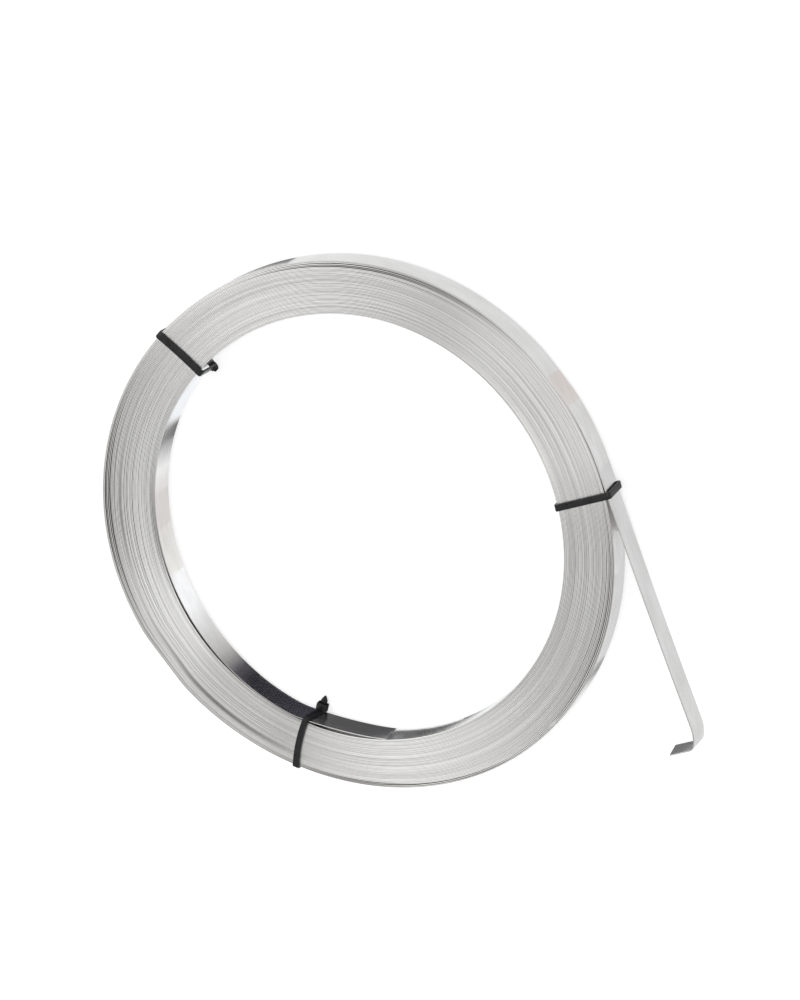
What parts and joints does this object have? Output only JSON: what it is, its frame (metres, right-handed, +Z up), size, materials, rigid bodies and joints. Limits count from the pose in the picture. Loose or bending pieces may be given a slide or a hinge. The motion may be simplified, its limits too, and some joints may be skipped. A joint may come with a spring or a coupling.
{
  "type": "steel coil",
  "caption": "Flat-lying coil of narrow bright steel strip with an open bore, a straight hooked tail and black cable ties round its winding.",
  "frame": {"origin": "on the coil's axis, at the level of the cable ties' undersides, which the coil rests on", "axes": "+Z up along the coil's axis; the tail runs out toward -X on the -Y side"},
  "size_m": [0.2801, 0.24, 0.0151],
  "materials": {
    "bright_steel": "bright rolled strip with slit edges, clean, no rust",
    "black_nylon": "black moulded nylon with a slight sheen"
  },
  "bodies": {
    "root": {"strip_coil": "bright_steel", "cable_tie_1": "black_nylon", "cable_tie_2": "black_nylon", "cable_tie_3": "black_nylon"}
  },
  "joints": []
}
